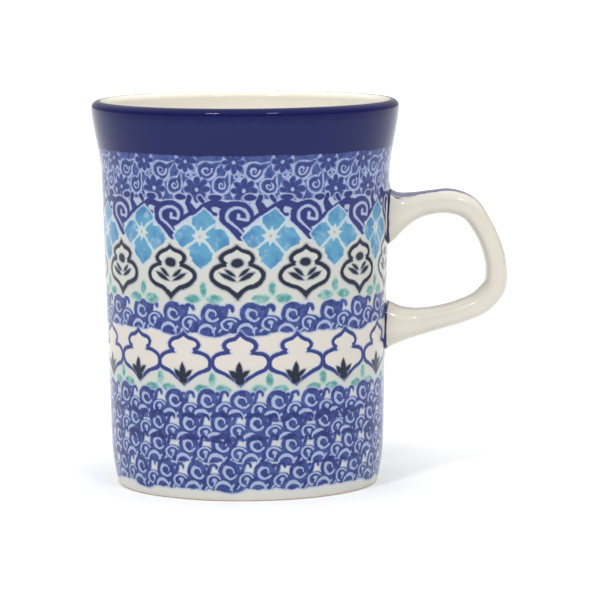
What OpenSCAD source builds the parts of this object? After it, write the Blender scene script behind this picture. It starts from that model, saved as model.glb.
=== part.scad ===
// Straight-sided stoneware mug with a flared rim and one loop handle.
// The origin is the centre of the foot on the cup's axis: +Z is up, and the handle points along +X.

/* [Cup] */
// Height from the foot to the top of the lip
cup_h = 100; // [90:1:115]
// Largest radius, just under the lip
rim_r = 40; // [38:0.5:46]
// Radius where the straight wall ends and the flare begins
waist_r = 37.5; // [35:0.5:40]
// Radius where the straight wall begins, above the rounded heel
heel_r = 35.6; // [33:0.2:38]
// Height at which the flare begins
flare_z = 81; // [79:1:84]
// Height at which the rounded heel ends
heel_z = 13; // [8:1:18]
// How far the heel pulls in from the wall's line at the foot
heel_pull = 1.4; // [0.5:0.1:3]
// Thickness of the finished wall, with its glaze
wall = 4.2; // [3.5:0.1:5]
// Thickness of the finished floor at its centre, with its glaze
floor_t = 6.4; // [5:0.1:8]
// Inside radius between the wall and the floor
floor_fillet = 9; // [4:0.5:12]

/* [Lip] */
// Radius of the round lip
lip_r = 1.9; // [1.4:0.1:2.1]

/* [Foot] */
// Radius of the small round at the foot's outer edge
foot_round = 0.8; // [0.5:0.1:1.5]
// Width of the unglazed ring that the mug stands on
foot_ring_w = 3.2; // [2:0.2:5]
// Depth of the recess inside the foot ring
recess = 1.5; // [1:0.1:2.5]

/* [Glaze] */
// Thickness of the fired glaze
glaze = 0.3; // [0.2:0.05:0.5]
// Height of the lower edge of the cobalt rim band
rim_band_z = 88.3; // [86:0.1:92]
// Height of the lower edge of the outside glaze
glaze_foot_z = 1.6; // [1.4:0.1:4]

/* [Handle] */
// Width of the handle across its grip
grip_w = 12.4; // [10:0.2:15]
// How much wider the handle is at its two roots
root_flare = 2.6; // [1:0.2:4]
// How square the handle's cross-section is: 2 is an ellipse
squareness = 3; // [2:0.2:5]
// How far the luting slip stands out of the finished wall
slip_t = 0.4; // [0.3:0.05:0.6]

/* [Hidden] */

clay_colour = [0.80, 0.76, 0.70];
cream_colour = [0.88, 0.85, 0.78];
cobalt_colour = [0.14, 0.15, 0.36];
stamped_colour = [0.42, 0.50, 0.74];

// The handle's centreline in the XZ plane from the upper root to the lower one: x, z and the thickness
// across the loop. The first and last points lie inside the wall, where the cup cuts them away.
handle_line = [
    [34.0, 70.2, 19.6], [37.4, 70.4, 15.2], [40.2, 70.9, 9.8], [44.0, 72.0, 6.9], [48.6, 72.9, 6.1],
    [53.4, 73.1, 6.4], [58.1, 71.3, 6.2], [61.3, 67.1, 5.6], [63.7, 62.1, 5.5], [65.1, 56.6, 5.7],
    [64.7, 50.9, 6.0], [61.2, 46.7, 5.9], [56.2, 44.4, 5.8], [50.6, 42.8, 5.9], [45.2, 41.7, 6.8],
    [40.8, 41.2, 8.6], [37.4, 41.1, 11.6], [34.0, 41.0, 14.8]];
// Steps between two points of the handle's centreline, and points around its cross-section
handle_steps = 3;
ring_points = 24;

// Height, half height and half width of each oval patch of slip
upper_patch = [70.3, 8.8, 8.6];
lower_patch = [41.1, 7.0, 8.2];

function straight_r(z) = heel_r + (waist_r - heel_r) * (z - heel_z) / (flare_z - heel_z);
function smooth(t) = t <= 0 ? 0 : t >= 1 ? 1 : t * t * (3 - 2 * t);
lip_z = cup_h - lip_r;
flare_rise = rim_r - straight_r(lip_z);
// Radius of the finished outside at height z
function outside_r(z) = straight_r(z)
    + flare_rise * smooth((z - flare_z) / (lip_z + 1 - flare_z))
    - heel_pull * pow(max(0, heel_z - z) / heel_z, 2.4);
// Thickness of the finished wall at height z, which thins towards the lip
function wall_t(z) = wall - (wall - 2 * lip_r) * smooth((z - flare_z) / (lip_z - flare_z));

floor_z = floor_t;
lip_centre_r = outside_r(lip_z) - lip_r;
inner_foot_r = outside_r(floor_z + floor_fillet) - wall;

// The finished outside from the glaze's lower edge to its meeting with the rim band, as [r, z] points
glazed_wall = concat(
    [for (i = [0 : 7]) let (z = glaze_foot_z + (heel_z - glaze_foot_z) * i / 7) [outside_r(z), z]],
    [for (i = [0 : 6]) let (z = flare_z + (rim_band_z - flare_z) * i / 6) [outside_r(z), z]]);
// The rim band's surface, up the flare and over the outer half of the lip
rim_surface = concat(
    [for (i = [0 : 8]) let (z = rim_band_z + (lip_z - rim_band_z) * i / 8) [outside_r(z), z]],
    [for (i = [1 : 6]) let (a = 90 * i / 6) [lip_centre_r + lip_r * cos(a), lip_z + lip_r * sin(a)]]);
// The inside surface, from the top of the lip down to the centre of the floor
liner_surface = concat(
    [for (i = [0 : 6]) let (a = 90 + 90 * i / 6) [lip_centre_r + lip_r * cos(a), lip_z + lip_r * sin(a)]],
    [for (i = [1 : 9]) let (z = lip_z - (lip_z - flare_z) * i / 9) [outside_r(z) - wall_t(z), z]],
    [for (i = [0 : 10]) let (a = -90 * i / 10)
        [inner_foot_r - floor_fillet + floor_fillet * cos(a), floor_z + floor_fillet + floor_fillet * sin(a)]],
    [[0, floor_z]]);

function unit(v) = v / norm(v);
function side_of(p, q) = let (d = unit(q - p)) [-d[1], d[0]];
// Each point of a path moved by t to the left of the way that the path runs
function beside(path, t) = [for (i = [0 : len(path) - 1])
    let (
        a = path[max(i - 1, 0)],
        b = path[min(i + 1, len(path) - 1)],
        n = side_of(a, b)
    )
    path[i][0] < 0.001 ? [0, path[i][1] - t] : path[i] + t * n];
function backwards(path) = [for (i = [len(path) - 1 : -1 : 0]) path[i]];

whole_surface = concat(glazed_wall, [for (i = [1 : len(rim_surface) - 1]) rim_surface[i]],
    [for (i = [1 : len(liner_surface) - 1]) liner_surface[i]]);
clay_surface = beside(whole_surface, glaze);
rim_start = len(glazed_wall) - 1;
liner_start = rim_start + len(rim_surface) - 1;
function part_of(path, first, last) = [for (i = [first : last]) path[i]];

// A coat of glaze over part of the clay's surface, between two indices of the path
module coat(first, last) {
    rotate_extrude($fn = 180)
        polygon(concat(part_of(whole_surface, first, last), backwards(part_of(clay_surface, first, last))));
}

ring_outer_r = outside_r(foot_round) - foot_round;
recess_r = ring_outer_r - foot_ring_w;

// The thrown and turned clay cup: wall, floor and foot ring in one piece
module stoneware_body() {
    foot_edge = [for (i = [0 : 4]) let (a = -90 + 90 * i / 4)
        [ring_outer_r + foot_round * cos(a), foot_round + foot_round * sin(a)]];
    color(clay_colour)
        rotate_extrude($fn = 180)
            polygon(concat([[0, recess + glaze], [recess_r - recess, recess + glaze], [recess_r, 0]],
                foot_edge, [[outside_r(glaze_foot_z) - glaze, glaze_foot_z - glaze]], clay_surface));
}

// The solid that the finished cup would be with no hollow, grown by t: it cuts the parts that sit on the wall
module cup_envelope(t) {
    rotate_extrude($fn = 180)
        polygon([[0, heel_z], [straight_r(heel_z) + t, heel_z], [straight_r(flare_z) + t, flare_z], [0, flare_z]]);
}

// Points along a smooth curve through the handle's line
function curve_point(a, b, c, d, t) = 0.5 * (2 * b + (c - a) * t + (2 * a - 5 * b + 4 * c - d) * t * t
    + (3 * b - a - 3 * c + d) * t * t * t);
last_leg = len(handle_line) - 2;
handle_path = concat([for (i = [0 : last_leg], k = [0 : handle_steps - 1])
        curve_point(handle_line[max(i - 1, 0)], handle_line[i], handle_line[i + 1],
            handle_line[min(i + 2, last_leg + 1)], k / handle_steps)],
    [handle_line[last_leg + 1]]);
function near_root(x) = 1 - smooth((x - waist_r) / 9);
function rounded(c) = sign(c) * pow(abs(c), 2 / squareness);

// One ring of the handle's cross-section at point i of its path, grown by t all round
function handle_ring(i, t) = let (
        p = handle_path[i],
        a = handle_path[max(i - 1, 0)],
        b = handle_path[min(i + 1, len(handle_path) - 1)],
        n = side_of([a[0], a[1]], [b[0], b[1]]),
        half_t = p[2] / 2 + t,
        half_w = (grip_w + root_flare * near_root(p[0])) / 2 + t
    )
    [for (k = [0 : ring_points - 1]) let (
            angle = 360 * k / ring_points,
            u = half_t * rounded(cos(angle)),
            v = half_w * rounded(sin(angle))
        )
        [p[0] + u * n[0], v, p[1] + u * n[1]]];

// The handle's loop before the cup trims its ends
module handle_loop(t) {
    rings = len(handle_path);
    points = [for (i = [0 : rings - 1]) each handle_ring(i, t)];
    sides = [for (i = [0 : rings - 2], k = [0 : ring_points - 1]) let (
            next = (k + 1) % ring_points,
            low = i * ring_points,
            high = low + ring_points
        )
        each [[low + k, low + next, high + next], [low + k, high + next, high + k]]];
    caps = [[for (k = [ring_points - 1 : -1 : 0]) k],
        [for (k = [0 : ring_points - 1]) (rings - 1) * ring_points + k]];
    polyhedron(points, concat(sides, caps), convexity = 6);
}

// The cast handle, with its ends shaped to the wall
module handle() {
    color(clay_colour)
        difference() {
            handle_loop(-glaze);
            cup_envelope(slip_t);
        }
}

// The glaze on the handle
module handle_glaze() {
    color(cream_colour)
        difference() {
            handle_loop(0);
            handle_loop(-glaze);
            cup_envelope(slip_t);
        }
}

// An oval rod along X, which marks out one patch of slip
module patch_rod(patch) {
    translate([waist_r - 12, 0, patch[0]])
        rotate([90, 0, 90])
            linear_extrude(height = 24)
                polygon([for (k = [0 : 35]) [patch[2] * cos(10 * k), patch[1] * sin(10 * k)]]);
}

// The clay slip that lutes one root of the handle to the wall
module luting_slip(patch) {
    color(clay_colour)
        intersection() {
            difference() {
                cup_envelope(slip_t);
                cup_envelope(-glaze);
            }
            patch_rod(patch);
        }
}

module upper_luting_slip() {
    luting_slip(upper_patch);
}

module lower_luting_slip() {
    luting_slip(lower_patch);
}

// The cobalt band over the rim and the outer half of the lip
module rim_glaze() {
    color(cobalt_colour) coat(rim_start, liner_start);
}

// The stamped and glazed coat of the outside wall, open where the handle is luted on
module outer_glaze() {
    color(stamped_colour)
        difference() {
            coat(0, rim_start);
            patch_rod(upper_patch);
            patch_rod(lower_patch);
        }
}

// The cream liner, from the top of the lip to the floor
module inner_glaze() {
    color(cream_colour) coat(liner_start, len(whole_surface) - 1);
}

// The glaze in the recess under the mug
module underside_glaze() {
    color(cream_colour)
        translate([0, 0, recess])
            cylinder(r = recess_r - recess - glaze, h = glaze, $fn = 120);
}

stoneware_body();
handle();
upper_luting_slip();
lower_luting_slip();
rim_glaze();
outer_glaze();
inner_glaze();
underside_glaze();
handle_glaze();
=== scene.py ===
"""The looks of the stamped stoneware mug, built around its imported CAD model.

Shapes and patterns are in millimetres, and turned into metres where a mesh is made. The cup stands on its
foot at the origin with its handle along +X, as in the frame. Its stamped patterns are painted by shader
nodes: a Value is a number at each point of a surface, and ordinary arithmetic on Values makes the nodes.
"""

import math

import bpy
import numpy as np
from mathutils import Matrix, Vector


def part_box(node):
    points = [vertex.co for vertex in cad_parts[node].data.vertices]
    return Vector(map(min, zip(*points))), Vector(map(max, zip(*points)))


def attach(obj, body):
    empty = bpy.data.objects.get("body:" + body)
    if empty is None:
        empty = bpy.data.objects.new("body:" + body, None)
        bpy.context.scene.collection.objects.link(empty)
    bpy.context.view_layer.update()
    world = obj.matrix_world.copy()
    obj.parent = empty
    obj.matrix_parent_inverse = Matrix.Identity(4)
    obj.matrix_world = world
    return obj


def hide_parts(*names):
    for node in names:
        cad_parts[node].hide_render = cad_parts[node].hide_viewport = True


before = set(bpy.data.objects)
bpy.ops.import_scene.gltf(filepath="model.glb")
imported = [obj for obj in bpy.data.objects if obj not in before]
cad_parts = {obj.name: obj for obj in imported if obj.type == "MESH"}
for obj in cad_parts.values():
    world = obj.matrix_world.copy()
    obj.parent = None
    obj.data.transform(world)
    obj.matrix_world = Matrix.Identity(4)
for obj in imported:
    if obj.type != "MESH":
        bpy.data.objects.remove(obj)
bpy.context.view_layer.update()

MM = 0.001
ON_AXIS = 1e-6  # a corner whose radius is below this lies on the cup's axis
CAD_COAT = 0.3  # thickness of the CAD's coats of glaze

# The cup's profile, from the CAD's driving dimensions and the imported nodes
CUP_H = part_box("rim_glaze")[1].z / MM
RIM_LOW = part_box("rim_glaze")[0].z / MM
FLOOR_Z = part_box("inner_glaze")[0].z / MM + CAD_COAT
RIM_R = 40.0
WAIST_R = 37.5
FLARE_Z = 81.0
HEEL_R = 35.6
HEEL_Z = 13.0
HEEL_PULL = 1.4
HEEL_CURVE = 2.4
WALL = 4.2
FLOOR_FILLET = 9.0
LIP_R = 1.9
LIP_Z = CUP_H - LIP_R

COAT = 0.27  # thickness of the glaze shells, a little less than the CAD's so that they clear the clay
AROUND = 256  # corners around a turned shell
STEP = 0.8  # height of a turned shell's faces
LIP_STEPS = 14  # faces along each half of the lip
FILLET_STEPS = 18
SHARP = math.radians(40)
DISC_EDGE = 0.14  # radius of the underside disc's rounded edge
DISC_GAP = 0.02  # between the underside disc and the clay

GLAZE_END = 0.8  # height at which the glaze thins out to nothing on the foot

# Heights at which the outside glaze is divided into its bands of stamps
CURLS_TOP = 29.2
LATTICE_TOP = 51.2
BLOSSOMS_TOP = 76.0

# The handle's centreline as in the CAD: x, z and thickness across the loop
HANDLE_LINE = [
    (34.0, 70.2, 19.6), (37.4, 70.4, 15.2), (40.2, 70.9, 9.8), (44.0, 72.0, 6.9), (48.6, 72.9, 6.1),
    (53.4, 73.1, 6.4), (58.1, 71.3, 6.2), (61.3, 67.1, 5.6), (63.7, 62.1, 5.5), (65.1, 56.6, 5.7),
    (64.7, 50.9, 6.0), (61.2, 46.7, 5.9), (56.2, 44.4, 5.8), (50.6, 42.8, 5.9), (45.2, 41.7, 6.8),
    (40.8, 41.2, 8.6), (37.4, 41.1, 11.6), (34.0, 41.0, 14.8),
]
GRIP_W = 12.4
ROOT_FLARE = 2.6  # how much wider the handle is at its roots
ROOT_REACH = 9.0  # how far from the wall it is wider
SQUARENESS = 3  # of its section: 2 is an ellipse, and more is squarer
HANDLE_STEPS = 8
HANDLE_AROUND = 72

# Height, half height and half width of the patches of slip under the handle's roots
UPPER_PATCH = (70.3, 8.8, 8.6)
LOWER_PATCH = (41.1, 7.0, 8.2)
PATCH_RISE = 0.45  # how far a patch stands out of the wall
PATCH_ROOT = 0.6  # how far it goes into the wall
PATCH_SINK = 0.02  # how far the front's edge lies below the wall's surface
PATCH_RINGS = 14
PATCH_AROUND = 96

STAMP_R = 37.0  # radius at which the stamps' widths are measured
MM_PER_DEGREE = math.pi * STAMP_R / 180

# The rows of stamps: how many go around the cup, and the angle of one of them in degrees from the front
CURLS = 25
LATTICE_CURLS = 22
LATTICES = 15
LATTICE_FIRST = -2.1
BLOSSOMS = 13
BLOSSOM_FIRST = 10.6
ROSETTES = 19
ROSETTE_FIRST = 0.5

# The camera: its place and lens in millimetres, and its tilt down and roll in degrees
CAMERA_PLACE = (13.95, -950.0, 159.0)
CAMERA_LENS = 219.6
CAMERA_DOWN = 6.7
CAMERA_ROLL = -0.35
FLOOR_HALF = 15.0  # half of the floor's width, in metres


# ---------------------------------------------------------------- meshes


def new_piece(name, corners, faces, material, slot, replaced):
    """Adds a closed mesh from corners in millimetres, with its material, and hides the CAD nodes it replaces.
    The slot is not used.
    """
    mesh = bpy.data.meshes.new(name)
    mesh.from_pydata([tuple(MM * c for c in corner) for corner in corners], [], faces)
    mesh.validate()
    mesh.shade_smooth()
    mesh.set_sharp_from_angle(angle=SHARP)
    mesh.materials.append(material)
    piece = bpy.data.objects.new(name, mesh)
    bpy.context.scene.collection.objects.link(piece)
    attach(piece, "root")
    if replaced:
        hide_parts(*replaced)
    return piece


def eased(t):
    """0 up to 0, 1 from 1, and a smooth slope between."""
    t = min(max(t, 0.0), 1.0)
    return t * t * (3 - 2 * t)


def straight_r(z):
    """Radius of the outside at height z without its flare and heel."""
    return HEEL_R + (WAIST_R - HEEL_R) * (z - HEEL_Z) / (FLARE_Z - HEEL_Z)


def outside_r(z):
    """Radius of the finished outside at height z."""
    flare = (RIM_R - straight_r(LIP_Z)) * eased((z - FLARE_Z) / (LIP_Z + 1 - FLARE_Z))
    heel = HEEL_PULL * (max(0.0, HEEL_Z - z) / HEEL_Z) ** HEEL_CURVE
    return straight_r(z) + flare - heel


def inside_r(z):
    """Radius of the finished inside at height z, above the floor's fillet."""
    thinning = (WALL - 2 * LIP_R) * eased((z - FLARE_Z) / (LIP_Z - FLARE_Z))
    return outside_r(z) - WALL + thinning


def wall_path(low, high):
    """Points up the outside between two heights."""
    heights = np.linspace(low, high, max(2, round((high - low) / STEP) + 1))
    return [(outside_r(z), z) for z in heights]


def arc_path(centre, radius, start, end, steps):
    """Points along an arc between two directions in degrees."""
    angles = np.radians(np.linspace(start, end, steps + 1))
    return [(centre[0] + radius * math.cos(a), centre[1] + radius * math.sin(a)) for a in angles]


LIP_CENTRE = (outside_r(LIP_Z) - LIP_R, LIP_Z)  # radius and height of the centre of the lip's rounding


def rim_path():
    """Up the flare and over the outer half of the lip."""
    return wall_path(RIM_LOW, LIP_Z)[:-1] + arc_path(LIP_CENTRE, LIP_R, 0, 90, LIP_STEPS)


def liner_path():
    """From the top of the lip down the inside and across the floor to the cup's axis."""
    fillet_top = FLOOR_Z + FLOOR_FILLET
    heights = np.linspace(LIP_Z, fillet_top, round((LIP_Z - fillet_top) / STEP))
    foot = (inside_r(fillet_top) - FLOOR_FILLET, fillet_top)
    across = np.linspace(foot[0], 0, 16)
    return (
        arc_path(LIP_CENTRE, LIP_R, 90, 180, LIP_STEPS)[:-1]
        + [(inside_r(z), z) for z in heights[:-1]]
        + arc_path(foot, FLOOR_FILLET, 0, -90, FILLET_STEPS)
        + [(r, FLOOR_Z) for r in across[1:]]
    )


def unevenness(angle, height):
    """How far the surface strays from a true round, as on any thrown and hand-finished cup."""
    slow = 0.045 * math.sin(2 * angle + 0.6) + 0.03 * math.sin(3 * angle - height / 24)
    return slow + 0.012 * math.sin(5 * angle + height / 11)


def lathe(section, wander):
    """Corners and faces of a solid of revolution from its closed section of (radius, height) corners. Each
    corner also strays from the round by its share, from 0 to 1, of the unevenness."""
    angles = np.arange(AROUND) * (2 * math.pi / AROUND)
    corners = []
    rings = []
    for (radius, height), share in zip(section, wander):
        first = len(corners)
        if radius < ON_AXIS:
            corners.append((0.0, 0.0, height))
            rings.append([first] * AROUND)
            continue
        for a in angles:
            r = radius + share * min(1.0, radius / STAMP_R) * unevenness(a, height)
            corners.append((r * math.cos(a), r * math.sin(a), height))
        rings.append(list(range(first, first + AROUND)))
    faces = []
    for low, high in zip(rings, rings[1:] + rings[:1]):
        for k in range(AROUND):
            n = (k + 1) % AROUND
            face = list(dict.fromkeys((low[k], low[n], high[n], high[k])))
            if len(face) > 2:
                faces.append(face)
    return corners, faces


def turned_coat(path):
    """A closed coat of glaze whose front follows a path up the outside or down the inside of the cup."""
    front = np.array(path)
    run = np.gradient(front, axis=0)
    run /= np.linalg.norm(run, axis=1)[:, None]
    back = front - COAT * np.column_stack([run[:, 1], -run[:, 0]])
    back[front[:, 0] < ON_AXIS, 0] = 0
    section = np.vstack([front, back[::-1]])
    wander = [1.0] * len(front) + [0.0] * len(front)
    return lathe(section, wander)


def underside_disc():
    """The thin disc of glaze inside the foot ring, with a rounded edge."""
    low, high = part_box("underside_glaze")
    radius = high.x / MM
    bottom, top = low.z / MM, high.z / MM - DISC_GAP
    edge = arc_path((radius - DISC_EDGE, bottom + DISC_EDGE), DISC_EDGE, -90, 0, 5)
    middle = [(r, bottom) for r in np.linspace(0, radius - DISC_EDGE, 12)[:-1]]
    section = middle + edge + [(radius, top), (0, top)]
    return lathe(section, [0.0] * len(section))


def curve_point(a, b, c, d, t):
    """A point between b and c on the smooth curve through four points."""
    bend = 2 * a - 5 * b + 4 * c - d
    twist = 3 * b - a - 3 * c + d
    return 0.5 * (2 * b + (c - a) * t + bend * t**2 + twist * t**3)


def handle_path():
    """Points along the handle's centreline, each with the thickness there."""
    points = np.array(HANDLE_LINE)
    last = len(points) - 1
    path = []
    for i in range(last):
        near = [points[j] for j in (max(i - 1, 0), i, i + 1, min(i + 2, last))]
        path += [curve_point(*near, k / HANDLE_STEPS) for k in range(HANDLE_STEPS)]
    return np.array(path + [points[last]])


def rounded(c):
    """A cosine or sine, changed so that a circle becomes a rounded square."""
    return math.copysign(abs(c) ** (2 / SQUARENESS), c)


def handle_ring(centre, normal, along):
    """One ring of the handle's cross-section, starting on the spine."""
    x, z, thickness = centre
    near_root = 1 - eased((x - WAIST_R) / ROOT_REACH)
    half_t = thickness / 2 + 0.05 * math.sin(along / 5.5)
    half_w = (GRIP_W + ROOT_FLARE * near_root) / 2 + 0.06 * math.sin(along / 7 + 1)
    ring = []
    for k in range(HANDLE_AROUND):
        a = 2 * math.pi * k / HANDLE_AROUND
        out, side = half_t * rounded(math.cos(a)), half_w * rounded(math.sin(a))
        ring.append((x + out * normal[0], side, z + out * normal[1]))
    return ring


def handle_mesh():
    """Corners and faces of the handle's loop, and how far each corner lies along the loop, and across it from
    the spine."""
    path = handle_path()
    run = np.gradient(path[:, :2], axis=0)
    run /= np.linalg.norm(run, axis=1)[:, None]
    lengths = np.concatenate([[0], np.cumsum(np.linalg.norm(np.diff(path[:, :2], axis=0), axis=1))])
    corners, faces, along, across = [], [], [], []
    for centre, way, distance in zip(path, run, lengths):
        ring = handle_ring(centre, (-way[1], way[0]), distance)
        edges = np.linalg.norm(np.diff(np.array(ring + ring[:1]), axis=0), axis=1)
        places = np.concatenate([[0], np.cumsum(edges)[:-1]])
        corners += ring
        along += [distance] * HANDLE_AROUND
        across += list(np.minimum(places, edges.sum() - places))
    for low in range(0, (len(path) - 1) * HANDLE_AROUND, HANDLE_AROUND):
        for k in range(HANDLE_AROUND):
            n = (k + 1) % HANDLE_AROUND
            faces.append((low + k, low + n, low + HANDLE_AROUND + n, low + HANDLE_AROUND + k))
    faces.append(tuple(range(HANDLE_AROUND))[::-1])
    faces.append(tuple(range(len(corners) - HANDLE_AROUND, len(corners))))
    return corners, faces, along, across


def patch_mesh(patch):
    """A low oval swelling of slip on the wall at one root of the handle: its corners and faces, and how far
    each corner lies on the way from its middle to its edge, from 0 to 1."""
    height, half_h, half_w = patch
    corners, faces, share = [], [], []

    def add_corner(y, z, reach, rise):
        corners.append((math.sqrt((outside_r(z) + rise) ** 2 - y * y), y, z))
        share.append(reach)

    def add_side(rise_at):
        """Adds the front or the back, and returns the number of the first corner of its outer ring."""
        first = len(corners)
        add_corner(0, height, 0.0, rise_at(0))
        for i in range(1, PATCH_RINGS + 1):
            reach = i / PATCH_RINGS
            for k in range(PATCH_AROUND):
                a = 2 * math.pi * k / PATCH_AROUND
                y, z = reach * half_w * math.cos(a), height + reach * half_h * math.sin(a)
                add_corner(y, z, reach, rise_at(reach))
        for k in range(PATCH_AROUND):
            n = (k + 1) % PATCH_AROUND
            faces.append((first, first + 1 + k, first + 1 + n))
            for i in range(PATCH_RINGS - 1):
                low, high = first + 1 + i * PATCH_AROUND, first + 1 + (i + 1) * PATCH_AROUND
                faces.append((low + k, high + k, high + n, low + n))
        return first + 1 + (PATCH_RINGS - 1) * PATCH_AROUND

    front = add_side(lambda reach: PATCH_RISE * math.sqrt(max(0.0, 1 - reach**4)) - PATCH_SINK)
    faces_before = len(faces)
    back = add_side(lambda reach: -PATCH_ROOT)
    faces[faces_before:] = [face[::-1] for face in faces[faces_before:]]
    for k in range(PATCH_AROUND):
        n = (k + 1) % PATCH_AROUND
        faces.append((front + k, back + k, back + n, front + n))
    return corners, faces, share


def keep_numbers(piece, **fields):
    """Stores a number for each corner of a piece, for its material."""
    for name, values in fields.items():
        piece.data.attributes.new(name, "FLOAT", "POINT").data.foreach_set("value", values)


# ---------------------------------------------------------------- numbers and colours as shader nodes


class Value:
    """A number at each point of a surface, worked out by shader nodes."""

    def __init__(self, socket):
        self.socket = socket

    def __add__(self, other):
        return math_node("ADD", self, other)

    __radd__ = __add__

    def __sub__(self, other):
        return math_node("SUBTRACT", self, other)

    def __rsub__(self, other):
        return math_node("SUBTRACT", other, self)

    def __mul__(self, other):
        return math_node("MULTIPLY", self, other)

    __rmul__ = __mul__

    def __truediv__(self, other):
        return math_node("DIVIDE", self, other)

    def __neg__(self):
        return math_node("MULTIPLY", self, -1)

    def __abs__(self):
        return math_node("ABSOLUTE", self)

    def __gt__(self, other):
        return math_node("GREATER_THAN", self, other)


class Sheet:
    """The node tree that is being filled."""

    tree = None


def plug(value, socket):
    """Links a Value to a socket, or sets the socket to a plain number or colour."""
    if isinstance(value, Value):
        Sheet.tree.links.new(value.socket, socket)
    else:
        socket.default_value = value


def new_node(kind, inputs=(), **settings):
    """Adds a node with its settings, and plugs its inputs, given as (name or number, value) pairs."""
    node = Sheet.tree.nodes.new("ShaderNode" + kind)
    for name, setting in settings.items():
        setattr(node, name, setting)
    for name, value in inputs:
        plug(value, node.inputs[name])
    return node


def math_node(operation, *inputs):
    return Value(new_node("Math", enumerate(inputs), operation=operation).outputs[0])


def ramp(value, low, high, smooth=True):
    """0 up to low, 1 from high, and a slope between. Low may be above high."""
    node = new_node(
        "MapRange",
        [("Value", value), ("From Min", low), ("From Max", high)],
        interpolation_type="SMOOTHSTEP" if smooth else "LINEAR",
    )
    return Value(node.outputs["Result"])


def three_of(node):
    """A node's colour as three Values."""
    parts = new_node("SeparateColor", [("Color", Value(node.outputs["Color"]))])
    return tuple(Value(parts.outputs[i]) for i in range(3))


def random3(index, seed):
    """Three random numbers from 0 to 1 for each whole-number index."""
    return three_of(new_node("TexWhiteNoise", [("W", index + seed * 17.31)], noise_dimensions="1D"))


def place():
    """The point's place on its piece, in metres."""
    return Value(new_node("TexCoord").outputs["Object"])


def place_xyz():
    """The point's x, y and z in millimetres."""
    parts = new_node("SeparateXYZ", [("Vector", place())])
    return tuple(Value(parts.outputs[i]) * (1 / MM) for i in range(3))


def noise3(size, detail=1, seed=0):
    """Three smooth random fields around 0.5, with blots about size millimetres across."""
    moved = new_node("Mapping", [("Vector", place()), ("Location", (seed * 0.1, 0, 0))])
    inputs = [("Vector", Value(moved.outputs[0])), ("Scale", 1 / (size * MM)), ("Detail", detail)]
    return three_of(new_node("TexNoise", inputs))


def corner_number(name):
    """A number that keep_numbers stored."""
    return Value(new_node("Attribute", attribute_name=name).outputs["Fac"])


def to_linear(c):
    """An sRGB value, from 0 to 1, as linear light."""
    return c / 12.92 if c <= 0.04045 else ((c + 0.055) / 1.055) ** 2.4


def colour(red, green, blue):
    """A colour from its sRGB values, 0 to 255."""
    return tuple(to_linear(c / 255) for c in (red, green, blue)) + (1.0,)


def mix(a, b, amount):
    """Colour a where amount is 0, and b where it is 1."""
    factor, first_colour, second_colour, result = 0, 6, 7, 2
    node = new_node("Mix", [(factor, amount), (first_colour, a), (second_colour, b)], data_type="RGBA")
    return Value(node.outputs[result])


# ---------------------------------------------------------------- shapes: distances in mm, below 0 inside


def smallest(a, *others):
    for b in others:
        a = math_node("MINIMUM", a, b)
    return a


def largest(a, b):
    return math_node("MAXIMUM", a, b)


def soft_smallest(a, b, blend):
    return math_node("SMOOTH_MIN", a, b, blend)


def soft_largest(a, b, blend):
    return math_node("SMOOTH_MAX", a, b, blend)


def length(x, y):
    return math_node("SQRT", x * x + y * y)


def angle_of(x, y):
    """The direction of a point from the origin in turns, from -0.5 to 0.5: 0 to the right, 0.25 upwards."""
    return math_node("ARCTAN2", y, x) * (0.5 / math.pi)


def turned(x, y, degrees):
    """The point as seen from axes turned by that angle."""
    c, s = math.cos(math.radians(degrees)), math.sin(math.radians(degrees))
    return x * c + y * s, y * c - x * s


def oval(x, y, half_x, half_y):
    """An oval whose distances are stretched along it, for solid shapes."""
    return (length(x * (1 / half_x), y * (1 / half_y)) - 1) * min(half_x, half_y)


def true_oval(x, y, half_x, half_y):
    """An oval whose distances are even all round, for outlines."""
    size = length(x * (1 / half_x), y * (1 / half_y))
    slope = length(x * (1 / half_x**2), y * (1 / half_y**2)) + 0.001
    return (size - 1) * size / slope


def leaf(x, y, half_length, half_width, tilt=0):
    """A leaf along x, pointed at both ends."""
    x, y = turned(x, y, tilt)
    return abs(y) + x * x * (half_width / half_length**2) - half_width


def line(x, y, start, end, half_width, end_half_width=None):
    """A straight stroke between two points, with round ends."""
    run = (end[0] - start[0], end[1] - start[1])
    size2 = run[0] ** 2 + run[1] ** 2
    dx, dy = x - start[0], y - start[1]
    along = ramp(dx * (run[0] / size2) + dy * (run[1] / size2), 0, 1, smooth=False)
    away = length(dx - along * run[0], dy - along * run[1])
    if end_half_width is None:
        return away - half_width
    return away - along * (end_half_width - half_width) - half_width


def arc(x, y, radius, start, sweep, half_width, end_half_width=None):
    """A stroke with round ends on an arc around the origin, from a direction through a sweep in degrees."""
    middle = (start + sweep / 2) / 360
    turns = math_node("WRAP", angle_of(x, y) - middle, 0.5, -0.5)
    beyond = largest(abs(turns) - abs(sweep) / 720, 0) * (2 * math.pi * radius)
    away = length(length(x, y) - radius, beyond)
    if end_half_width is None:
        return away - half_width
    share = ramp(turns * (360 / sweep), -0.5, 0.5, smooth=False)
    return away - share * (end_half_width - half_width) - half_width


def spiral(x, y, radius, pitch, start, turns, half_width, end_half_width):
    """A stroke that winds inwards clockwise from a radius and a direction in degrees."""
    r = length(x, y)
    gone = math_node("FRACT", -angle_of(x, y) + start / 360)
    wound = r * (-1 / pitch) + radius / pitch
    lap = largest(smallest(math_node("ROUND", wound - gone), math.ceil(turns) - 1), 0)
    stroke = abs(wound - gone - lap) * pitch
    share = ramp(r, radius, radius - pitch * turns, smooth=False)
    stroke = stroke - share * (end_half_width - half_width) - half_width
    return largest(stroke, radius - pitch * turns - r)


# ---------------------------------------------------------------- stamps


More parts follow.
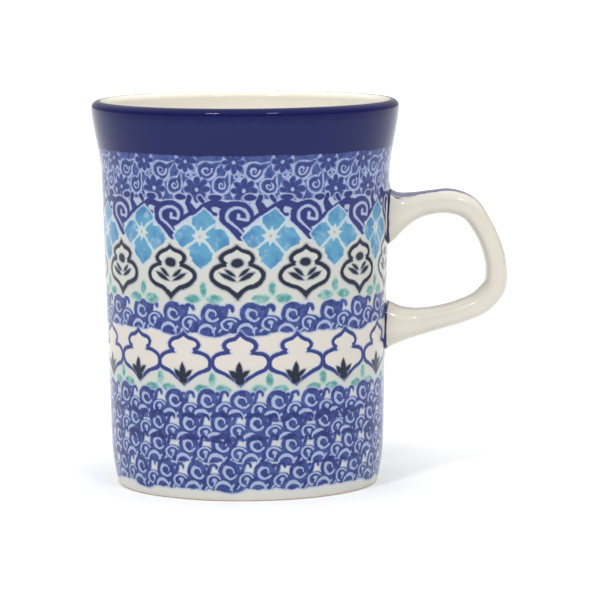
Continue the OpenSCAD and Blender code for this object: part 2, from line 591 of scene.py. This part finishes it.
def nearest_stamp(degrees, z, count, first, height, seed, shake=0.3):
    """Where the point lies from the middle of the nearest of count stamps around the wall, each of them
    shaken a little, and that stamp's random tone."""
    pitch = 360 / count
    turn = (degrees - first) * (1 / pitch)
    index = math_node("ROUND", turn)
    shakes = random3(math_node("WRAP", index, count, 0), seed)
    x = (turn - index) * (pitch * MM_PER_DEGREE) + (shakes[0] - 0.5) * (2 * shake)
    y = z - height - (shakes[1] - 0.5) * (2 * shake)
    return x, y, shakes[2]


def ogee(x, y, lobe, crown, tip, apex, fullness):
    """A medallion: a wide lobe (half width, half height) centred on y = 0, a round crown (height, half width,
    half height) above it, and points down to tip and up to apex, hollow at fullness 0 and straight at 1."""
    side = abs(x)
    wide = true_oval(x, y, *lobe)
    top = true_oval(x, y - crown[0], crown[1], crown[2])
    neck = true_oval(x, y - 0.65 * crown[0], 0.82 * crown[1], 0.5 * crown[0])
    down = ramp(y, tip, -0.3 * lobe[1], smooth=False)
    low_point = (side - down * (down * (1 - fullness) + fullness) * (0.9 * lobe[0])) * 0.6
    up = ramp(y, apex, crown[0] + 0.15 * crown[2], smooth=False)
    high_point = (side - up * (up * 0.25 + 0.75) * (0.99 * crown[1])) * 0.65
    low = soft_smallest(wide, largest(largest(low_point, y), tip - y), 0.5)
    high = soft_smallest(top, largest(largest(high_point, (crown[0] - y) * 2.5), y - apex), 0.3)
    return smallest(low, high, neck)


def outline(shape, width):
    """The stroke of that width just inside a shape's edge, crisper on its inner side."""
    return largest(shape, (shape + width) * -1.7)


def crescent(x, y, radius, thickness):
    """A sliver of moon, thickest at its top, under a circle of that radius around the origin."""
    return largest(length(x, y) - radius, -length(x, y + thickness * 0.75) + radius - thickness * 0.25)


def curl_row(degrees, z, count, first, height, seed, swell):
    """A row of the wave-like curl stamp: the distances to its whole shape, and to its ink without the pale
    lines, both swollen by that much."""
    x, y, tone = nearest_stamp(degrees, z, count, first, height, seed)
    shape = smallest(
        length(x, y) - 2.8,
        oval(x + 1.8, y + 2.9, 2.3, 1.5),
        oval(x - 1.2, y + 3.0, 2.5, 1.5),
        oval(x - 2.7, y + 2.0, 1.7, 1.4),
        oval(x - 0.4, y + 4.1, 3.6, 1.3) + (tone > 0.4) * 9,
    )
    gaps = smallest(
        spiral(x - 0.1, y + 0.1, 1.8, 0.95, 340, 0.93, 0.22, 0.22),
        arc(x, y + 0.1, 1.4, 120, 130, 0.36),
        crescent(x + 1.6, y + 4.6, 2.3, 0.8),
        line(x, y, (0.1, -4.5), (1.0, -3.4), 0.16, 0.24),
        line(x, y, (2.0, -4.4), (2.6, -3.7), 0.14, 0.2),
    )

    x, y, _ = nearest_stamp(degrees, z, count, first + 5.2 / MM_PER_DEGREE, height, seed)
    shape = smallest(
        shape,
        oval(x + 0.6, y + 2.2, 2.7, 1.75),
        oval(x - 0.3, y + 3.4, 2.6, 1.05),
        line(x, y, (-2.0, -0.5), (-1.4, 1.3), 0.5, 0.4),
        arc(x + 0.55, y - 1.35, 0.85, 180, -185, 0.4, 0.25),
        oval(x + 2.5, y - 1.6, 0.6, 0.42),
    )
    gaps = smallest(
        gaps,
        arc(x + 0.6, (y + 2.35) * 1.2, 1.9, 30, 225, 0.22, 0.26),
        oval(x + 0.45, y + 2.05, 0.6, 0.42),
        line(x, y, (-0.15, -2.1), (-0.5, -3.3), 0.28, 0.14),
    )
    return shape - swell, largest(shape - swell, -gaps)


def rosette(x, y, radius):
    """A flower of eight round petals, parted by narrow gaps."""
    half_sector = 1 / 16
    sector = math_node("WRAP", angle_of(x, y), half_sector, -half_sector) * (2 * math.pi)
    r = length(x, y)
    out, across = r * math_node("COSINE", sector), r * math_node("SINE", sector)
    petal = oval(out - 0.64 * radius, across, 0.37 * radius, 0.245 * radius)
    return soft_smallest(petal, r - 0.45 * radius, 0.15)


def drop(x, y, radius, tail):
    """A round drop with a tail up to a point, for the paisley stamps."""
    taper = line(x, y, (radius * 0.55, radius * 0.3), tail, radius * 0.5, 0.1)
    return soft_smallest(length(x, y) - radius, taper, 0.6)


def rosette_band(degrees, z):
    """The rosettes and paisleys under the rim: the distances to their pale lines, their dark parts and the
    band's lower edge."""

    def stamp(offset, height):
        return nearest_stamp(degrees, z, ROSETTES, ROSETTE_FIRST + offset, height, seed=3, shake=0.2)[:2]

    x, y = stamp(0, 79.5)
    y = y * 1.06
    low_flower = rosette(x, y, 3.5)
    middle = length(x, y)
    flower_lines = smallest(largest(-low_flower, middle - 3.6), middle - 0.55)
    discs = middle - 3.6

    x, y = stamp(-4.2, 86.6)
    middle = length(x, y)
    high_flower = rosette(x, y, 3.0)
    flower_lines = smallest(flower_lines, largest(-high_flower, middle - 3.1), middle - 0.5)
    discs = smallest(discs, middle - 3.1)

    x, y = stamp(3.9, 84.3)
    big = drop(x, y, 2.4, (4.3, 2.5))
    bowl = arc(x, y, 2.5, 100, 235, 0.22, 0.42)
    lines = smallest(abs(big) - 0.22, bowl, spiral(x, y, 1.45, 1.0, 20, 1.1, 0.26, 0.3))

    x, y = stamp(9.6, 80.5)
    small = drop(x, y, 2.1, (1.9, 3.6))
    bowl = arc(x, y, 2.2, 120, 200, 0.2, 0.36)
    lines = smallest(lines, abs(small) - 0.22, bowl, spiral(x, y, 1.2, 0.9, 60, 1.05, 0.24, 0.28))
    lines = smallest(largest(lines, -discs), flower_lines)

    x, y = stamp(-2, 83.25)
    dots = smallest(length(x + 0.75, y) - 0.55, length(x - 0.55, y) - 0.45)
    lines = smallest(lines, abs(dots - 0.05) - 0.2)

    x, y = stamp(4.6, 77.2)
    seeds = smallest(
        oval(x, y, 0.5, 1.0),
        oval(x - 1.3, y - 0.2, 0.45, 0.8),
        oval(x + 1.7, y + 0.1, 0.6, 1.0),
    )
    dark = smallest(low_flower, high_flower, big + 0.5, small + 0.5, seeds)
    edge = smallest(low_flower, small, seeds, 77.0 - z)
    return lines, dark, edge


def hook_row(degrees, z):
    """The bold hooks between the blossoms, and the strokes that link them: the distances to their whole shape
    and to their ink."""
    height = 73.0
    x, y, _ = nearest_stamp(degrees, z, BLOSSOMS, BLOSSOM_FIRST - 13.1, height, seed=5)
    shape = smallest(
        oval(x + 0.25, y - 0.3, 4.5, 3.55),
        line(x, y, (-3.7, -0.75), (0.9, -5.4), 1.05, 0.85),
        line(x, y, (0.1, -2.4), (1.3, -3.8), 0.6, 0.3),
        line(x, y, (3.0, -1.4), (6.2, 0.8), 0.6, 0.5),
        line(x, y, (-3.0, 2.4), (-5.8, 3.2), 1.0, 0.9),
        arc(x + 5.7, y - 1.7, 1.35, 60, 220, 0.75, 0.45),
    )
    gaps = smallest(
        arc(x * 0.8, y + 0.05, 2.15, -28, 238, 0.3, 0.33),
        line(x, y, (-2.35, -1.2), (1.0, -4.0), 0.34, 0.2),
        line(x, y, (0.3, -0.7), (2.2, -1.0), 0.36, 0.3),
        line(x, y, (0.4, 0.3), (0.3, -0.7), 0.4, 0.36),
    )

    x, y, _ = nearest_stamp(degrees, z, BLOSSOMS, BLOSSOM_FIRST + 0.8, height, seed=5)
    links = smallest(
        line(x, y, (-3.3, 4.6), (-3.9, 3.1), 0.6, 0.55),
        line(x, y, (-3.9, 3.1), (-3.0, 0.9), 0.55, 0.55),
        line(x, y, (-2.8, 0.8), (-1.5, 1.0), 0.6, 0.6),
        line(x, y, (-3.2, 2.8), (-1.9, 1.5), 0.4, 0.35),
        line(x, y, (-1.3, 1.2), (0.5, 2.3), 0.6, 0.65),
        line(x, y, (0.5, 2.3), (3.4, 3.2), 0.65, 0.9),
        line(x, y, (-0.4, 4.6), (0.4, 3.6), 0.5, 0.4),
        oval(x - 3.4, y - 4.5, 1.5, 0.7),
        oval(x + 5.7, y - 4.5, 1.3, 0.7),
    )
    links = links - 0.15  # a little bolder
    return smallest(shape, links), smallest(largest(shape, -gaps), links)


def blossom_row(degrees, z):
    """The four-petalled blossoms: the distances to their petals and to their whole shape, how far along a
    petal the point lies, and how far from the middle."""
    x, y, _ = nearest_stamp(degrees, z, BLOSSOMS, BLOSSOM_FIRST, 68.0, seed=7, shake=0.25)
    x, y = turned(x, y, -5)
    middle, side, up = length(x, y), abs(x), abs(y)
    slits = (smallest(side, up) - largest(side, up) + 0.38) * 0.7
    side, up = abs(x - 0.6), abs(y + 0.7)
    along, across = largest(side, up), smallest(side, up)
    petal = soft_largest((along + across * 0.8 - 7.75) * 0.78, across - 3.15, 1.0)
    eight_rays = largest(math_node("COSINE", angle_of(x, y) * (8 * 2 * math.pi)), 0)
    star = middle - 1.5 - eight_rays * 0.8
    return largest(largest(petal, slits), -star), petal, along, middle


def medallion_row(degrees, z):
    """The navy medallions: the distance to their outlines, dots and leaves, and to their insides."""
    x, y, _ = nearest_stamp(degrees, z, BLOSSOMS, BLOSSOM_FIRST - 13.4, 57.7, seed=9, shake=0.2)
    shape = ogee(x, y, (7.2, 3.75), (4.5, 4.6, 2.5), -6.1, 8.0, 0.5)
    side = abs(x)
    dot = oval(x, y - 3.3, 1.6, 1.15)
    leaves = smallest(leaf(side - 2.45, y + 0.25, 2.3, 0.62, 26), leaf(side - 1.75, y - 0.85, 1.7, 0.52, 36))
    return smallest(outline(shape - 0.1, 1.15), dot, leaves), shape


def leaf_trio_row(degrees, z, count, first, height, seed):
    """Sprigs of one upright leaf and two that spread: the distance to them."""
    x, y, _ = nearest_stamp(degrees, z, count, first, height, seed, shake=0.35)
    upright = oval(x, y - 2.5, 1.05, 1.8)
    x, y = abs(x) - 2.95, y - 0.1
    spread = soft_largest(oval(x, y, 2.3, 1.2), leaf(x, y, 2.6, 1.4, -4), 0.3)
    return smallest(upright, spread)


def lattice_row(degrees, z):
    """The linked ogees on the cream band: the distances to their outlines, and to the sprig in each one's
    point."""
    x, y, _ = nearest_stamp(degrees, z, LATTICES, LATTICE_FIRST, 35.6, seed=11, shake=0.2)
    shape = ogee(x, y, (9.0, 3.4), (4.4, 4.7, 2.4), -6.0, 8.0, 0.75)
    shape = soft_largest(shape, abs(x) - 8.1, 2.4)
    notch = oval(abs(x) - 3.3, y - 2.5, 0.7, 0.35)
    sprig = smallest(
        leaf(y + 2.1, x + 0.4, 2.3, 0.95),
        leaf(x + 1.5, y + 3.1, 2.1, 0.85, -38),
        leaf(x - 0.9, y + 3.0, 2.1, 0.7, 36),
        oval(x + 0.2, y + 4.4, 1.3, 1.1),
    )
    return smallest(outline(shape - 0.12, 1.15), notch), sprig


# ---------------------------------------------------------------- painted bands


CREAM = colour(212, 206, 198)
COOL_CREAM = colour(200, 200, 193)
FOOT_CREAM = colour(211, 211, 205)
PALE = colour(161, 173, 203)
COBALT = colour(50, 61, 122)
DEEP = colour(42, 46, 104)
MID = colour(73, 89, 145)
NAVY = colour(36, 42, 60)
NAVY_EDGE = colour(120, 128, 150)
SKY = colour(93, 152, 184)
SKY_DEEP = colour(68, 124, 172)
SKY_EDGE = colour(178, 202, 213)
TEAL = colour(75, 142, 142)
TEAL_EDGE = colour(172, 202, 196)
LINES = colour(158, 171, 204)
RIM_COBALT = colour(34, 39, 88)
ROOT_COBALT = colour(36, 38, 92)
# the cobalt at the top of the lip, darker as painted shade
SHADED_LIP_COBALT = colour(18, 21, 78)


def wall_place():
    """The point's angle around the cup, 0 at the front and growing towards the handle, its height, and three
    fields of blots. The place is pushed about a little, so that every stamped edge is uneven."""
    x, y, z = place_xyz()
    degrees = math_node("ARCTAN2", x, -y) * (180 / math.pi)
    fine, broad = noise3(0.6, 0, 1), noise3(4.0, 0, 2)
    for field, push in ((fine, 0.2), (broad, 0.7)):
        degrees = degrees + (field[0] - 0.5) * (push / MM_PER_DEGREE)
        z = z + (field[1] - 0.5) * push
    return degrees, z, noise3(1.6, 2, 5)


def paint(ground, distance, ink, halo, soft=0.2, spread=0.55):
    """Ink on the ground where the distance is below 0, with a bleeding edge."""
    ground = mix(ground, halo, ramp(distance, spread, -0.1) * 0.75)
    return mix(ground, ink, ramp(distance, soft * 0.6, -soft))


def spongy_cobalt(blots):
    """Cobalt that a sponge has left lighter in places."""
    return mix(COBALT, MID, ramp(blots[0], 0.35, 0.75))


def paint_teal(ground, distance, blots):
    """Mottled teal with a worn edge."""
    ink = mix(TEAL, TEAL_EDGE, ramp(blots[2], 0.35, 0.75) * 0.7)
    return paint(ground, distance + (blots[1] - 0.5) * 0.6, ink, TEAL_EDGE, soft=0.45)


def squeezed(degrees):
    """The lattice's angles: its stamps stand a little closer together beside the handle."""
    return degrees + math_node("SINE", degrees * (math.pi / 180)) * 2


def cream_ground(z):
    """The cream under the stamps: warm behind the lattice, cooler elsewhere, where some of their colour has
    run, and hazy blue between the blossoms and the rosettes."""
    cool = mix(FOOT_CREAM, COOL_CREAM, ramp(z, 6, 12))
    cream = mix(cool, CREAM, ramp(z, 31, 36) * ramp(z, 48, 43))
    return mix(cream, PALE, ramp(z + noise3(2.5, 2, 6)[0] * 4, 70, 76.5) * 0.75)


def crowded(degrees):
    """The angles of the blossoms' rows: the last stamps beside the handle stand closer together."""
    return degrees + ramp(degrees, 55, 80) * ramp(degrees, 125, 100) * 4


def paint_hooks(ground, degrees, z, blots, clear=None):
    """The hooks, kept a little way off the clear shape if there is one."""
    shape, ink = hook_row(crowded(degrees), z)
    if clear is not None:
        gap = 0.3 - clear
        shape, ink = largest(shape, gap), largest(ink, gap)
    ground = mix(ground, PALE, ramp(shape, 0.3, 0))
    return paint(ground, ink, mix(COBALT, DEEP, blots[2]), PALE)


def paint_lattice_teal(ground, degrees, z, blots):
    """The teal sprigs between the ogees."""
    leaves = leaf_trio_row(squeezed(degrees), z, LATTICES, LATTICE_FIRST + 12, 28.9, 31)
    return paint_teal(ground, leaves, blots)


def paint_blossom_teal(ground, degrees, z, blots):
    """The teal sprigs between the medallions."""
    leaves = leaf_trio_row(crowded(degrees), z, BLOSSOMS, BLOSSOM_FIRST + 0.2, 51.8, 32)
    return paint_teal(ground, leaves, blots)


def curl_stamps():
    """Four overlapping rows of curls down to the cream foot."""
    degrees, z, blots = wall_place()
    swell = 0.14
    # Each curl_row here makes two rows of curls, one above a height and one below it.
    upper = z > 19.9
    odd_shape, odd_ink = curl_row(degrees + upper * 6.0 - 4.5, z, CURLS, 0, upper * 11.3 + 14.6, 21, swell)
    upper = z > 13.6
    even_shape, even_ink = curl_row(degrees + upper * 3.2 - 8.0, z, CURLS, 0, upper * 12.6 + 7.7, 22, swell)
    doubled = ramp(largest(odd_shape, even_shape), 0.2, -0.5) * ramp(blots[1], 0.2, 0.6)
    ink = mix(spongy_cobalt(blots), DEEP, doubled * 0.9)
    ground = paint_lattice_teal(cream_ground(z), degrees, z, blots)
    ground = paint(ground, smallest(odd_shape, even_shape), PALE, PALE)
    return paint(ground, smallest(odd_ink, even_ink), ink, PALE)


def lattice_stamps():
    """A row of curls above linked ogees with navy sprigs, over teal leaves."""
    degrees, z, blots = wall_place()
    shape, ink = curl_row(degrees, z, LATTICE_CURLS, -13.4, 48.2, 23, swell=0.3)
    ground = paint(cream_ground(z), shape, PALE, PALE)
    ground = paint(ground, ink, spongy_cobalt(blots), PALE)
    ground = paint_blossom_teal(ground, degrees, z, blots)
    ground = paint_lattice_teal(ground, degrees, z, blots)
    lattice, sprig = lattice_row(squeezed(degrees), z)
    ground = paint(ground, lattice, COBALT, PALE)
    return paint(ground, sprig, NAVY, NAVY_EDGE)


def blossom_stamps():
    """Sky-blue blossoms between cobalt hooks, above navy medallions and teal leaves."""
    degrees, z, blots = wall_place()
    ground = paint_blossom_teal(cream_ground(z), degrees, z, blots)
    petals, whole, along, middle = blossom_row(crowded(degrees), z)
    wash = noise3(3.0, 1, 8)
    sky = mix(SKY, SKY_DEEP, ramp(along, 1.5, 6.5) * ramp(wash[0], 0.35, 0.65))
    sky = mix(sky, SKY_EDGE, ramp(blots[0] * 0.5 + wash[1] * 0.5, 0.5, 0.75) * 0.5)
    ground = paint(ground, petals + (blots[1] - 0.5) * 0.7, sky, SKY_EDGE, soft=0.3, spread=1.5)
    ground = mix(ground, TEAL, ramp(middle, 0.5, 0.2) * 0.6)
    ground = paint_hooks(ground, degrees, z, blots, whole)
    lines, inside = medallion_row(crowded(degrees), z)
    ground = mix(ground, COOL_CREAM, ramp(inside, 1.2, 0.9))
    return paint(ground, lines, NAVY, NAVY_EDGE)


def rosette_stamps():
    """Cobalt rosettes and paisleys with pale lines, up to the cobalt rim."""
    degrees, z, blots = wall_place()
    lines, dark, edge = rosette_band(degrees, z)
    ink = mix(MID, COBALT, ramp(blots[1], 0.35, 0.8))
    ink = mix(ink, mix(COBALT, DEEP, blots[2]), ramp(dark, 0.2, -0.4) * 0.7)
    drawn = ramp(lines + blots[0] * 0.5, 0.42, 0.02)
    unsmudged = ramp(blots[0] + z * 0.06, 6.6, 5.4)
    ink = mix(ink, LINES, drawn * unsmudged)
    ground = mix(paint(cream_ground(z), edge, PALE, PALE), ink, ramp(edge, 0.1, -0.1))
    ground = paint_hooks(ground, degrees, z, blots)
    return mix(ground, RIM_COBALT, ramp(z, 88.0, 88.3))


def rim_cobalt():
    """Cobalt, darker towards the top of the lip: painted shade standing in for the dimmer reflection there.
    """
    slow = noise3(5.0, 2, 12)[0]
    height = place_xyz()[2] + slow * 2
    # painted shade: the cobalt deepens towards the top of the lip
    return mix(RIM_COBALT, SHADED_LIP_COBALT, ramp(height, 96.5, 99.5))


def liner_cream():
    """Warm cream, with the rim's cobalt running a little way over the top of the lip."""
    x, y, z = place_xyz()
    over_lip = length(x, y) * -1 + LIP_CENTRE[0] + (noise3(3.0, 2, 14)[0] - 0.5) * 0.8
    cream = mix(colour(245, 240, 229), colour(238, 233, 220), noise3(14.0, 2, 13)[0])
    # the cobalt over the lip takes the lip's darker painted-shade tone
    return mix(cream, SHADED_LIP_COBALT, ramp(over_lip, 0.55, 0.15) * (z > LIP_Z))


def handle_cream():
    """Cream, with a blue line where it meets the wall and a streaky brush stroke along the spine, which thins
    out past the bend."""
    along, across = corner_number("along"), corner_number("across")
    lengthwise = new_node("CombineXYZ", [("X", along * 0.12), ("Y", across * 1.1)])
    inputs = [("Vector", Value(lengthwise.outputs[0])), ("Scale", 1.0), ("Detail", 3.0)]
    streaks = three_of(new_node("TexNoise", inputs))
    cream = mix(colour(219, 214, 200), colour(211, 206, 192), noise3(9.0, 2, 15)[0])
    half_width = ramp(along, 44, 3, smooth=False) * 3.2 + ramp(along, 14, 4) * 2.0 + 1.6
    half_width = half_width + (noise3(1.3, 3, 16)[0] - 0.5) * 2.4
    x, y, z = place_xyz()
    joint = ramp(length(x, y) - straight_r(z) + (noise3(3.0, 1, 20)[0] - 0.5) * 0.5, 0.85, 0.6)
    load = ramp(along + streaks[1] * 16, 58, 28) * ramp(streaks[2], 0.22, 0.5)
    stroke = mix(colour(96, 104, 158), colour(56, 62, 116), ramp(streaks[0], 0.3, 0.7))
    cream = mix(cream, stroke, ramp(across - half_width, 0.4, -0.4) * load)
    return mix(cream, ROOT_COBALT, joint)


def brushed_slip():
    """The dark line that a brush leaves around a root of the handle, cream at the swelling's outer edge."""
    out = corner_number("share") + (noise3(2.0, 2, 17)[0] - 0.5) * 0.05
    return mix(ROOT_COBALT, CREAM, ramp(out, 0.9, 0.93))


def foot_clay():
    """Bare fired clay: pale and warm, with fine dark specks."""
    speck = ramp(noise3(0.5, 2, 18)[0], 0.70, 0.76)
    clay = mix(colour(218, 211, 200), colour(208, 200, 187), noise3(3.0, 3, 19)[1])
    return mix(clay, colour(150, 134, 112), speck * 0.6)


# ---------------------------------------------------------------- materials


def finish(shader, roughness, wave_size, wave_depth):
    """Slow waves in the surface and a slightly uneven gloss, around a roughness."""
    waves = noise3(wave_size, 2, 41)
    plug(ramp(waves[1], 0.3, 0.7) * (roughness * 0.5) + roughness * 0.75, shader.inputs["Roughness"])
    bump = new_node("Bump", [("Strength", 1.0), ("Distance", wave_depth * MM), ("Height", waves[0])])
    plug(Value(bump.outputs["Normal"]), shader.inputs["Normal"])


def ceramic(name, paint_it, roughness=0.09, wave_size=5.0, wave_depth=0.03, specular=0.16):
    """A fired surface in the colour that paint_it makes, with waves of a size and a depth in millimetres."""
    material = bpy.data.materials.new(name)
    material.use_nodes = True
    Sheet.tree = material.node_tree
    shader = Sheet.tree.nodes["Principled BSDF"]
    shader.inputs["Specular IOR Level"].default_value = specular
    plug(paint_it(), shader.inputs["Base Color"])
    finish(shader, roughness, wave_size, wave_depth)
    return material


# ---------------------------------------------------------------- the mug


def build_cup():
    """The coats of glaze on the cup, and clay for the CAD's own body."""
    bands = [
        ("curl_band", wall_path(GLAZE_END, CURLS_TOP), curl_stamps, ["outer_glaze"]),
        ("lattice_band", wall_path(CURLS_TOP, LATTICE_TOP), lattice_stamps, []),
        ("blossom_band", wall_path(LATTICE_TOP, BLOSSOMS_TOP), blossom_stamps, []),
        ("rosette_band", wall_path(BLOSSOMS_TOP, RIM_LOW), rosette_stamps, []),
    ]
    for name, path, paint_it, replaced in bands:
        look = paint_it.__name__
        new_piece(name, *turned_coat(path), ceramic(look, paint_it), look, replaced)
    rim = ceramic("rim_cobalt", rim_cobalt, roughness=0.04, specular=0.14)
    new_piece("rim_band", *turned_coat(rim_path()), rim, "cobalt_glaze", ["rim_glaze"])
    liner = ceramic("liner_cream", liner_cream, specular=0.3)
    new_piece("inner_liner", *turned_coat(liner_path()), liner, "liner_glaze", ["inner_glaze"])
    new_piece("underside_disc", *underside_disc(), liner, "liner_glaze", ["underside_glaze"])
    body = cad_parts["stoneware_body"]
    clay = ceramic("foot_clay", foot_clay, roughness=0.75, wave_size=0.6, wave_depth=0.04)
    for slot in body.material_slots:
        slot.link = "OBJECT"
        slot.material = clay


def build_handle():
    """The glazed loop, and the slip at its two roots."""
    corners, faces, along, across = handle_mesh()
    glaze = ceramic("handle_cream", handle_cream, roughness=0.06, specular=0.4)
    loop = new_piece("glazed_handle", corners, faces, glaze, "handle_glaze", ["handle_glaze", "handle"])
    keep_numbers(loop, along=along, across=across)
    slip = ceramic("brushed_slip", brushed_slip)
    for name, patch in (("upper", UPPER_PATCH), ("lower", LOWER_PATCH)):
        corners, faces, share = patch_mesh(patch)
        swelling = new_piece(name + "_root_line", corners, faces, slip, "slip", [name + "_luting_slip"])
        keep_numbers(swelling, share=share)


# ---------------------------------------------------------------- the studio


def build_floor():
    """A plain pale floor."""
    mesh = bpy.data.meshes.new("floor")
    corners = [(x * FLOOR_HALF, y * FLOOR_HALF, 0) for x, y in ((-1, -1), (1, -1), (1, 1), (-1, 1))]
    mesh.from_pydata(corners, [], [(0, 1, 2, 3)])
    floor = bpy.data.objects.new("floor", mesh)
    bpy.context.scene.collection.objects.link(floor)
    material = bpy.data.materials.new("paper")
    material.use_nodes = True
    Sheet.tree = material.node_tree
    shader = Sheet.tree.nodes["Principled BSDF"]
    paper = mix(colour(252, 252, 252), colour(249, 249, 250), noise3(40.0, 2, 51)[0])
    plug(paper, shader.inputs["Base Color"])
    shader.inputs["Roughness"].default_value = 0.9
    shader.inputs["Specular IOR Level"].default_value = 0.1
    mesh.materials.append(material)


def aim(thing, target):
    """Turns a lamp so that it shines at a target."""
    thing.rotation_euler = (Vector(target) - thing.location).to_track_quat("-Z", "Y").to_euler()


def add_lamp(name, location, strength, angle):
    """A soft lamp so far off that it lights the floor evenly, shining from its location to the mug."""
    light = bpy.data.lights.new(name, "SUN")
    light.energy = strength
    light.angle = math.radians(angle)
    lamp = bpy.data.objects.new(name, light)
    lamp.location = location
    bpy.context.scene.collection.objects.link(lamp)
    aim(lamp, (0, 0, 0.06))


def build_lights():
    """A pale tent, brightest above and darkest towards the front, and two soft lamps above the front."""
    world = bpy.data.worlds.new("studio")
    world.use_nodes = True
    Sheet.tree = world.node_tree
    parts = new_node("SeparateXYZ", [("Vector", Value(new_node("TexCoord").outputs["Generated"]))])
    side = ramp(Value(parts.outputs["Y"]), -0.95, -0.5)
    back = ramp(Value(parts.outputs["Y"]), -0.2, 0.6)
    top = ramp(Value(parts.outputs["Z"]), 0.2, 0.9)
    plug(side * 0.12 + back * 0.08 + top * 1.05 + 0.24, Sheet.tree.nodes["Background"].inputs["Strength"])
    Sheet.tree.nodes["Background"].inputs["Color"].default_value = (1, 1, 1, 1)
    bpy.context.scene.world = world
    add_lamp("left_lamp", (-0.33, -0.62, 0.73), 0.7, 9)
    add_lamp("right_lamp", (0.3, -0.62, 0.73), 0.38, 8)


def build_camera():
    """The camera, at the photo's viewing angle."""
    camera = bpy.data.objects.new("camera", bpy.data.cameras.new("camera"))
    camera.data.lens = CAMERA_LENS
    tilt = Matrix.Rotation(math.radians(90 - CAMERA_DOWN), 4, "X")
    roll = Matrix.Rotation(math.radians(CAMERA_ROLL), 4, "Z")
    camera.matrix_world = Matrix.Translation([MM * c for c in CAMERA_PLACE]) @ (tilt @ roll)
    bpy.context.scene.collection.objects.link(camera)
    bpy.context.scene.camera = camera
    bpy.context.scene.view_settings.view_transform = "Standard"


build_cup()
build_handle()
build_floor()
build_lights()
build_camera()
